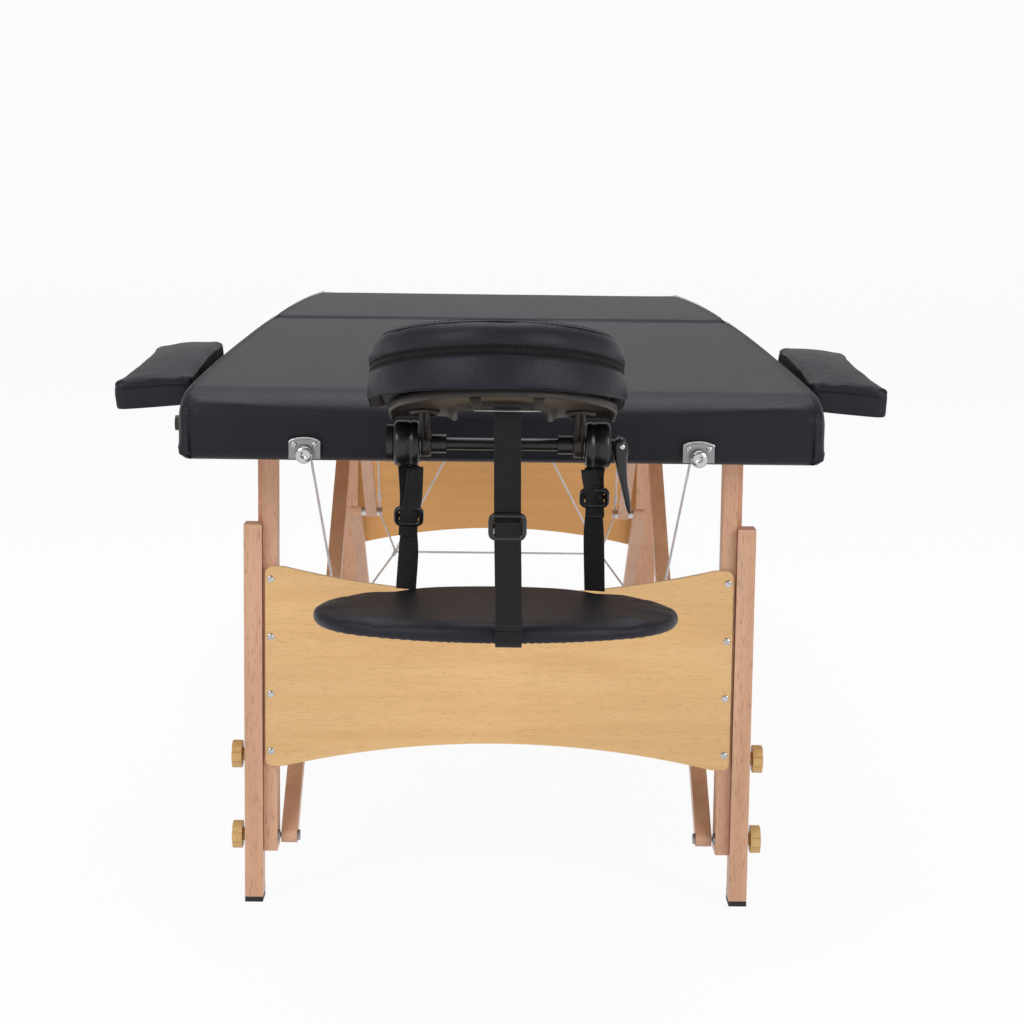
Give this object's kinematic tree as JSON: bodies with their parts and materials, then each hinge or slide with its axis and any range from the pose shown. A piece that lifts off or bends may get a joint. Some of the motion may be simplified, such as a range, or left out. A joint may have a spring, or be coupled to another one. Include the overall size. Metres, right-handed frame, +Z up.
{
  "type": "folding massage table",
  "caption": "Folding wooden massage table with black padded top, face cradle, arm shelf and side armrests.",
  "frame": {"origin": "centre of the bounding box at floor level, where the feet stand", "axes": "+Y runs from the face cradle to the foot end, +Z up, +X to the right seen from the cradle"},
  "size_m": [0.8482, 2.1327, 0.6889],
  "materials": {
    "vinyl": "matte black leatherette",
    "beech": "clear lacquered beech",
    "panel_board": "satin wood-grain laminate",
    "deck_board": "bare plywood",
    "steel": "bright plated steel",
    "cable": "clear coated wire rope",
    "knob_wood": "satin",
    "rubber": "matte",
    "plastic": "fine grained",
    "black_tube": "satin black",
    "webbing": "ribbed woven strap"
  },
  "bodies": {
    "head_half": {"head_cushion": "vinyl", "head_frame": "beech", "head_deck": "deck_board", "head_hinges": "steel", "head_latch_studs": "steel", "head_glides": "plastic", "head_handle": "plastic", "head_cables": "cable"},
    "foot_half": {"foot_cushion": "vinyl", "foot_frame": "beech", "foot_deck": "deck_board", "foot_hinges": "steel", "foot_glides": "plastic", "foot_handle": "plastic", "foot_cables": "cable"},
    "fold_pins": {"hinge_pins": "steel", "web_cables": "cable"},
    "cradle_base": {"cradle_rods": "black_tube", "cradle_knuckles": "plastic"},
    "face_cradle": {"cradle_plate": "plastic", "face_pad": "vinyl"},
    "hanging_shelf": {"arm_shelf": "vinyl", "shelf_straps": "webbing"},
    "clamp_lever": {"cam_lever": "plastic"},
    "right_armrest": {"armrest_right": "vinyl", "armrest_pegs_right": "black_tube"},
    "left_armrest": {"armrest_left": "vinyl", "armrest_pegs_left": "black_tube"},
    "right_hook": {"latch_hook_right": "steel"},
    "left_hook": {"latch_hook_left": "steel"},
    "head_legs": {"head_posts": "beech", "head_panel": "panel_board", "head_panel_screws": "steel", "head_leg_bolts": "steel"},
    "head_upper_brace_pair": {"head_upper_braces": "beech", "head_elbow_bolts": "steel"},
    "head_lower_brace_pair": {"head_lower_braces": "beech"},
    "head_right_extension": {"head_right_leg": "beech", "head_right_foot": "rubber"},
    "head_right_low_nut": {"head_right_knob_low": "knob_wood"},
    "head_right_high_nut": {"head_right_knob_high": "knob_wood"},
    "head_left_extension": {"head_left_leg": "beech", "head_left_foot": "rubber"},
    "head_left_low_nut": {"head_left_knob_low": "knob_wood"},
    "head_left_high_nut": {"head_left_knob_high": "knob_wood"},
    "foot_legs": {"foot_posts": "beech", "foot_panel": "panel_board", "foot_panel_screws": "steel", "foot_leg_bolts": "steel"},
    "foot_upper_brace_pair": {"foot_upper_braces": "beech", "foot_elbow_bolts": "steel"},
    "foot_lower_brace_pair": {"foot_lower_braces": "beech"},
    "foot_right_extension": {"foot_right_leg": "beech", "foot_right_foot": "rubber"},
    "foot_right_low_nut": {"foot_right_knob_low": "knob_wood"},
    "foot_right_high_nut": {"foot_right_knob_high": "knob_wood"},
    "foot_left_extension": {"foot_left_leg": "beech", "foot_left_foot": "rubber"},
    "foot_left_low_nut": {"foot_left_knob_low": "knob_wood"},
    "foot_left_high_nut": {"foot_left_knob_high": "knob_wood"}
  },
  "joints": [
    {"name": "fold_first", "type": "hinge", "parent": "head_half", "child": "fold_pins", "pos_m": [0, 0.1325, 0.523], "axis": [-1, 0, 0], "range_deg": [0, 90], "deforming": ["head_cables", "foot_cables", "web_cables"]},
    {"name": "fold_last", "type": "hinge", "parent": "fold_pins", "child": "foot_half", "pos_m": [0, 0.1325, 0.523], "axis": [-1, 0, 0], "range_deg": [0, 90]},
    {"name": "head_leg_fold", "type": "hinge", "parent": "head_half", "child": "head_legs", "pos_m": [0, -0.5975, 0.554], "axis": [1, 0, 0], "range_deg": [0, 90]},
    {"name": "head_upper_brace_fold", "type": "hinge", "parent": "head_half", "child": "head_upper_brace_pair", "pos_m": [0, 0.0845, 0.557], "axis": [-1, 0, 0], "range_deg": [0, 35.65]},
    {"name": "head_lower_brace_fold", "type": "hinge", "parent": "head_legs", "child": "head_lower_brace_pair", "pos_m": [0, -0.5945, 0.07], "axis": [1, 0, 0], "range_deg": [0, 54.35]},
    {"name": "head_right_height", "type": "slide", "parent": "head_legs", "child": "head_right_extension", "axis": [0, 0, -1], "range_m": [0, 0.1395]},
    {"name": "head_right_low_knob_turn", "type": "hinge", "parent": "head_legs", "child": "head_right_low_nut", "pos_m": [0.29, -0.606, 0.074], "axis": [1, 0, 0], "continuous": true},
    {"name": "head_right_high_knob_turn", "type": "hinge", "parent": "head_legs", "child": "head_right_high_nut", "pos_m": [0.29, -0.606, 0.167], "axis": [1, 0, 0], "continuous": true},
    {"name": "head_left_height", "type": "slide", "parent": "head_legs", "child": "head_left_extension", "axis": [0, 0, -1], "range_m": [0, 0.1395]},
    {"name": "head_left_low_knob_turn", "type": "hinge", "parent": "head_legs", "child": "head_left_low_nut", "pos_m": [-0.29, -0.606, 0.074], "axis": [1, 0, 0], "continuous": true},
    {"name": "head_left_high_knob_turn", "type": "hinge", "parent": "head_legs", "child": "head_left_high_nut", "pos_m": [-0.29, -0.606, 0.167], "axis": [1, 0, 0], "continuous": true},
    {"name": "foot_leg_fold", "type": "hinge", "parent": "foot_half", "child": "foot_legs", "pos_m": [0, 0.8625, 0.554], "axis": [-1, 0, 0], "range_deg": [0, 90]},
    {"name": "foot_upper_brace_fold", "type": "hinge", "parent": "foot_half", "child": "foot_upper_brace_pair", "pos_m": [0, 0.1805, 0.557], "axis": [1, 0, 0], "range_deg": [0, 35.65]},
    {"name": "foot_lower_brace_fold", "type": "hinge", "parent": "foot_legs", "child": "foot_lower_brace_pair", "pos_m": [0, 0.8595, 0.07], "axis": [-1, 0, 0], "range_deg": [0, 54.35]},
    {"name": "foot_right_height", "type": "slide", "parent": "foot_legs", "child": "foot_right_extension", "axis": [0, 0, -1], "range_m": [0, 0.1395]},
    {"name": "foot_right_low_knob_turn", "type": "hinge", "parent": "foot_legs", "child": "foot_right_low_nut", "pos_m": [0.29, 0.871, 0.074], "axis": [1, 0, 0], "continuous": true},
    {"name": "foot_right_high_knob_turn", "type": "hinge", "parent": "foot_legs", "child": "foot_right_high_nut", "pos_m": [0.29, 0.871, 0.167], "axis": [1, 0, 0], "continuous": true},
    {"name": "foot_left_height", "type": "slide", "parent": "foot_legs", "child": "foot_left_extension", "axis": [0, 0, -1], "range_m": [0, 0.1395]},
    {"name": "foot_left_low_knob_turn", "type": "hinge", "parent": "foot_legs", "child": "foot_left_low_nut", "pos_m": [-0.29, 0.871, 0.074], "axis": [1, 0, 0], "continuous": true},
    {"name": "foot_left_high_knob_turn", "type": "hinge", "parent": "foot_legs", "child": "foot_left_high_nut", "pos_m": [-0.29, 0.871, 0.167], "axis": [1, 0, 0], "continuous": true},
    {"name": "cradle_pull", "type": "slide", "parent": "head_half", "child": "cradle_base", "axis": [0, -1, 0], "range_m": [0, 0.08]},
    {"name": "cradle_tilt", "type": "hinge", "parent": "cradle_base", "child": "face_cradle", "pos_m": [0, -0.9025, 0.557], "axis": [-1, 0, 0], "range_deg": [-35, 10], "deforming": ["shelf_straps"]},
    {"name": "shelf_hang", "type": "hinge", "parent": "face_cradle", "child": "hanging_shelf", "pos_m": [0, -0.9025, 0.557], "axis": [-1, 0, 0], "range_deg": [-10, 35]},
    {"name": "cam_clamp", "type": "hinge", "parent": "cradle_base", "child": "clamp_lever", "pos_m": [0.114, -0.9025, 0.557], "axis": [0, -1, 0], "range_deg": [0, 95]},
    {"name": "right_armrest_pull", "type": "slide", "parent": "head_half", "child": "right_armrest", "axis": [1, 0, 0], "range_m": [0, 0.06]},
    {"name": "left_armrest_pull", "type": "slide", "parent": "head_half", "child": "left_armrest", "axis": [-1, 0, 0], "range_m": [0, 0.06]},
    {"name": "right_latch_turn", "type": "hinge", "parent": "foot_half", "child": "right_hook", "pos_m": [0.2, 1.0625, 0.556], "axis": [0, -1, 0], "range_deg": [0, 90]},
    {"name": "left_latch_turn", "type": "hinge", "parent": "foot_half", "child": "left_hook", "pos_m": [-0.2, 1.0625, 0.556], "axis": [0, 1, 0], "range_deg": [0, 90]}
  ],
  "couplings": [
    {"joint": "head_leg_fold", "follows": "fold_first", "ratio": 1},
    {"joint": "head_upper_brace_fold", "follows": "fold_first", "ratio": 0.3961},
    {"joint": "head_lower_brace_fold", "follows": "fold_first", "ratio": 0.6039},
    {"joint": "foot_leg_fold", "follows": "fold_first", "ratio": 1},
    {"joint": "foot_upper_brace_fold", "follows": "fold_first", "ratio": 0.3961},
    {"joint": "foot_lower_brace_fold", "follows": "fold_first", "ratio": 0.6039},
    {"joint": "shelf_hang", "follows": "cradle_tilt", "ratio": -1}
  ]
}
